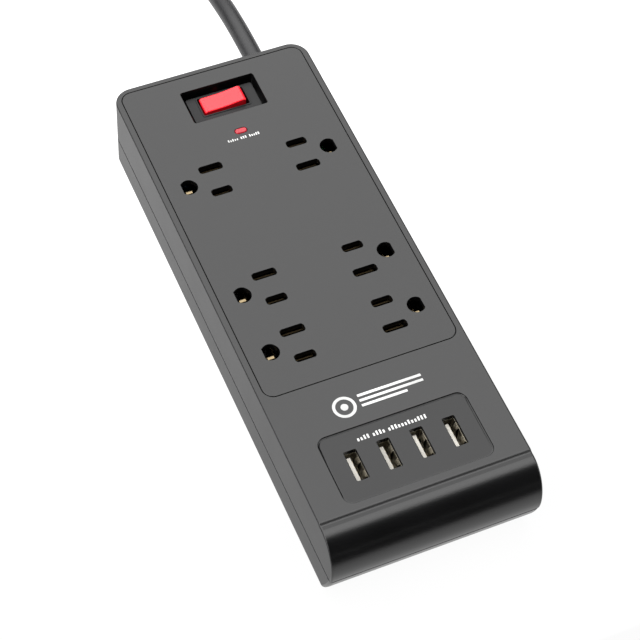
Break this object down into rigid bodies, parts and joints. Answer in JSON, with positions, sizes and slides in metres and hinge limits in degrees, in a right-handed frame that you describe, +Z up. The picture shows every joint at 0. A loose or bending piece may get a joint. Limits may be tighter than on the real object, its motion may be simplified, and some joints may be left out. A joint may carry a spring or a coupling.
{
  "type": "power strip",
  "caption": "Flat black power strip with two columns of grounded outlets, a red rocker switch, an indicator lens, USB ports behind a rounded nose, and a coiled mains cord.",
  "frame": {"origin": "on the floor, at the middle of the housing's length and width", "axes": "+Z up out of the outlet face, +Y towards the cord end, +X to the right when the nose is nearest"},
  "size_m": [0.1336, 0.4581, 0.0449],
  "materials": {
    "housing_plastic": "satin",
    "switch_plastic": "gloss",
    "rocker_plastic": "gloss",
    "lens_plastic": "gloss",
    "foot_rubber": "matte",
    "cord_jacket": "satin",
    "strap_fabric": "woven",
    "screw_steel": "zinc plated",
    "contact_brass": "satin",
    "blade_brass": "satin",
    "port_nickel": "satin",
    "port_tongue": "satin",
    "circuit_board": "satin",
    "varistor_coating": "gloss",
    "fuse_body": "matte",
    "transformer_core": "matte",
    "capacitor_can": "satin",
    "spring_steel": "satin",
    "line_insulation": "satin",
    "neutral_insulation": "satin",
    "ground_insulation": "satin"
  },
  "bodies": {
    "housing": {"top_shell": "housing_plastic", "bottom_shell": "housing_plastic", "outlet_panel": "housing_plastic", "indicator_lens": "lens_plastic", "indicator_led": "lens_plastic", "foot_back_left": "foot_rubber", "foot_back_right": "foot_rubber", "foot_front_left": "foot_rubber", "foot_front_right": "foot_rubber", "case_screw_1": "screw_steel", "case_screw_2": "screw_steel", "case_screw_3": "screw_steel", "case_screw_4": "screw_steel", "case_screw_5": "screw_steel", "case_screw_6": "screw_steel", "switch_housing": "switch_plastic", "lamp_terminal": "contact_brass", "common_terminal": "contact_brass", "load_terminal": "contact_brass", "neutral_bus": "contact_brass", "hot_bus": "contact_brass", "ground_bus": "contact_brass", "surge_board": "circuit_board", "usb_board": "circuit_board", "varistor_1": "varistor_coating", "varistor_2": "varistor_coating", "varistor_3": "varistor_coating", "thermal_fuse": "fuse_body", "usb_shell_1": "port_nickel", "usb_shell_2": "port_nickel", "usb_shell_3": "port_nickel", "usb_shell_4": "port_nickel", "usb_tongue_1": "port_tongue", "usb_tongue_2": "port_tongue", "usb_tongue_3": "port_tongue", "usb_tongue_4": "port_tongue", "usb_transformer": "transformer_core", "usb_capacitor": "capacitor_can", "line_wire": "line_insulation", "feed_wire": "line_insulation", "neutral_wire": "neutral_insulation", "ground_wire": "ground_insulation", "strain_relief": "cord_jacket", "power_cord": "cord_jacket", "cord_coil": "cord_jacket", "cord_tail": "cord_jacket", "plug_body": "cord_jacket", "cord_tie": "strap_fabric", "plug_hot_blade": "blade_brass", "plug_neutral_blade": "blade_brass", "plug_ground_pin": "blade_brass"},
    "switch_rocker": {"rocker": "rocker_plastic", "plunger": "contact_brass", "plunger_spring": "spring_steel", "switch_lamp": "lens_plastic"},
    "contact_seesaw": {"moving_contact": "contact_brass"}
  },
  "joints": [
    {"name": "rocker_pivot", "type": "hinge", "parent": "housing", "child": "switch_rocker", "pos_m": [0, 0.099, 0.0319], "axis": [0, 1, 0], "range_deg": [0, 10]},
    {"name": "contact_pivot", "type": "hinge", "parent": "housing", "child": "contact_seesaw", "pos_m": [0, 0.099, 0.0226], "axis": [0, 1, 0], "range_deg": [-16, 0]}
  ],
  "couplings": [
    {"joint": "contact_pivot", "follows": "rocker_pivot", "ratio": -1.6}
  ]
}
